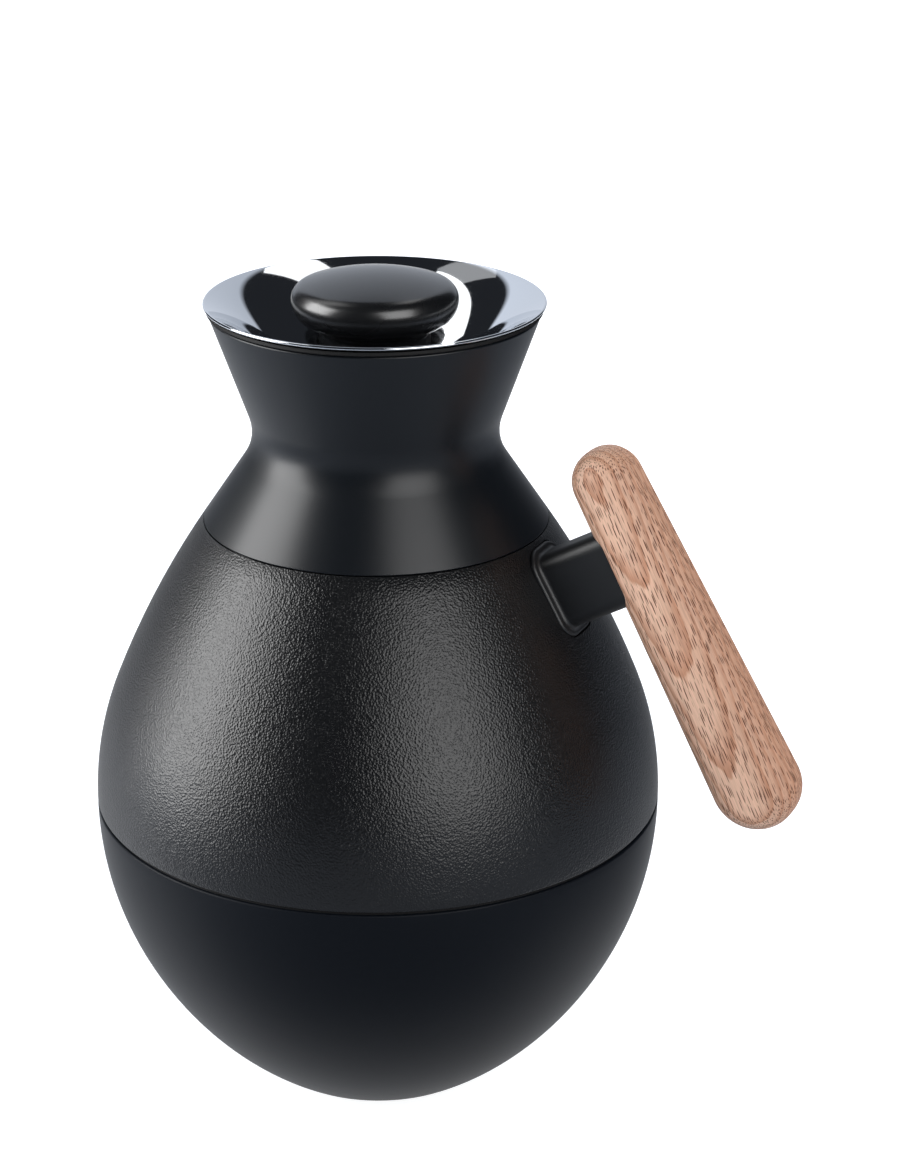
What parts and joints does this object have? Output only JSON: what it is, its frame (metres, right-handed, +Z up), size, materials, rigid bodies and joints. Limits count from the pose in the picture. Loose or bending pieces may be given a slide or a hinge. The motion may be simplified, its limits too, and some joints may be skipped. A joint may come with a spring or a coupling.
{
  "type": "insulated coffee jug",
  "caption": "Pear-shaped insulated jug with a polished pouring funnel, a push-button stopper and a wooden bar handle on one boss.",
  "frame": {"origin": "on the jug's axis, at the face that it stands on", "axes": "+Z up along the jug's axis, +X towards the handle; the jug is symmetric about the XZ plane"},
  "size_m": [0.2051, 0.16, 0.2366],
  "materials": {
    "satin_black": "smooth satin moulded polypropylene",
    "grained_black": "moulded with a fine pebbled grain",
    "knob_black": "smooth satin, slightly glossier than the body",
    "polished_steel": "mirror polished stainless steel",
    "flask_steel": "drawn stainless steel",
    "zinc_steel": "zinc plated",
    "brass": "turned",
    "beech": "oiled beech with short dark pores along the grain",
    "silicone": "matt black silicone",
    "inner_plastic": "moulded, plain"
  },
  "bodies": {
    "jug": {"base_bowl": "satin_black", "foot_pad": "silicone", "base_seal": "silicone", "body_shell": "grained_black", "neck_collar": "satin_black", "pouring_funnel": "polished_steel", "lip_seal": "silicone", "funnel_lock_ring": "inner_plastic", "mouth_gasket": "silicone", "inner_flask": "flask_steel", "outer_flask": "flask_steel", "vacuum_seal_cap": "flask_steel", "flask_cushion": "silicone", "handle_grip": "beech", "handle_boss": "satin_black", "handle_plate": "zinc_steel", "handle_washers": "zinc_steel", "handle_bolts": "zinc_steel", "handle_inserts": "brass"},
    "stopper": {"stopper_housing": "inner_plastic", "valve_seat": "inner_plastic", "stopper_cap": "inner_plastic", "stopper_seal": "silicone", "return_spring": "zinc_steel"},
    "push_knob": {"stopper_knob": "knob_black", "push_stem": "flask_steel", "valve_disc": "inner_plastic", "valve_seal": "silicone", "stem_nut": "zinc_steel"}
  },
  "joints": [
    {"name": "stopper_lift", "type": "slide", "parent": "jug", "child": "stopper", "axis": [0, 0, 1], "range_m": [0, 0.09]},
    {"name": "knob_press", "type": "slide", "parent": "stopper", "child": "push_knob", "axis": [0, 0, 1], "range_m": [-0.004, 0], "stiffness_N_per_m": 600, "springref_m": 0.006, "deforming": ["return_spring"]}
  ]
}
